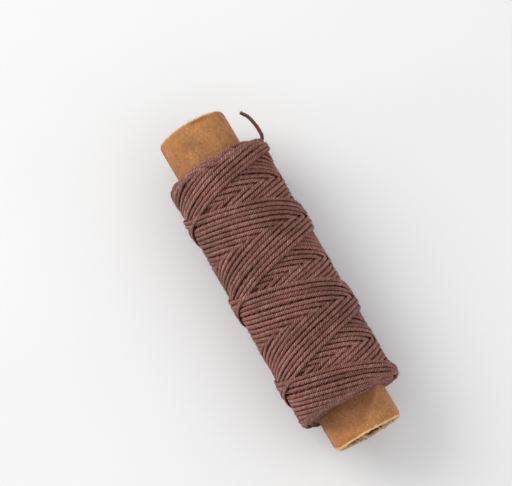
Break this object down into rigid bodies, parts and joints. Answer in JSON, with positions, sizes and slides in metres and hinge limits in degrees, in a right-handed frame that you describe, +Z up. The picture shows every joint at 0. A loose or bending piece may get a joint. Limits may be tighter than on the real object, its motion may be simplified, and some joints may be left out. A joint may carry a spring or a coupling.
{
  "type": "waxed thread spool",
  "caption": "Short paper tube cross-wound with twisted waxed thread, bare at both ends, with a free thread end that circles the axis and bends.",
  "frame": {"origin": "on the spool's axis, midway between the two ends of the tube", "axes": "+X along the spool's axis towards the end with the shorter bare tube, +Z up with the spool lying on its side"},
  "size_m": [0.0762, 0.0251, 0.0244],
  "materials": {
    "kraft_wrap": "smooth, slightly calendered kraft paper",
    "core_board": "matte recycled board with torn fibres at the cut",
    "waxed_thread": "twisted thread with a soft wax sheen"
  },
  "bodies": {
    "spool": {"core_outer_wrap": "kraft_wrap", "core_third_ply": "core_board", "core_second_ply": "core_board", "core_inner_ply": "core_board", "thread_starting_end": "waxed_thread", "thread_first_layers": "waxed_thread", "thread_middle_layers": "waxed_thread", "thread_outer_layers": "waxed_thread", "thread_last_pass": "waxed_thread"},
    "last_turn": {"thread_last_turn": "waxed_thread"},
    "tail_lower": {"thread_tail_lower": "waxed_thread"},
    "tail_upper": {"thread_tail_upper": "waxed_thread"},
    "tail_tip": {"thread_tail_tip": "waxed_thread"}
  },
  "joints": [
    {"name": "thread_unwind", "type": "hinge", "parent": "spool", "child": "last_turn", "pos_m": [-0.0282, 0, 0], "axis": [1, 0, 0], "continuous": true},
    {"name": "tail_lift", "type": "hinge", "parent": "last_turn", "child": "tail_lower", "pos_m": [-0.02975, 0.01252, -0.00235], "axis": [0, 0, -1], "range_deg": [-6, 80]},
    {"name": "tail_sway", "type": "hinge", "parent": "tail_lower", "child": "tail_upper", "pos_m": [-0.03245, 0.01245, -0.0013], "axis": [0, 1, 0], "range_deg": [-55, 55]},
    {"name": "tip_curl", "type": "hinge", "parent": "tail_upper", "child": "tail_tip", "pos_m": [-0.03445, 0.0118, 0.0001], "axis": [0, 0, -1], "range_deg": [-15, 60]}
  ]
}
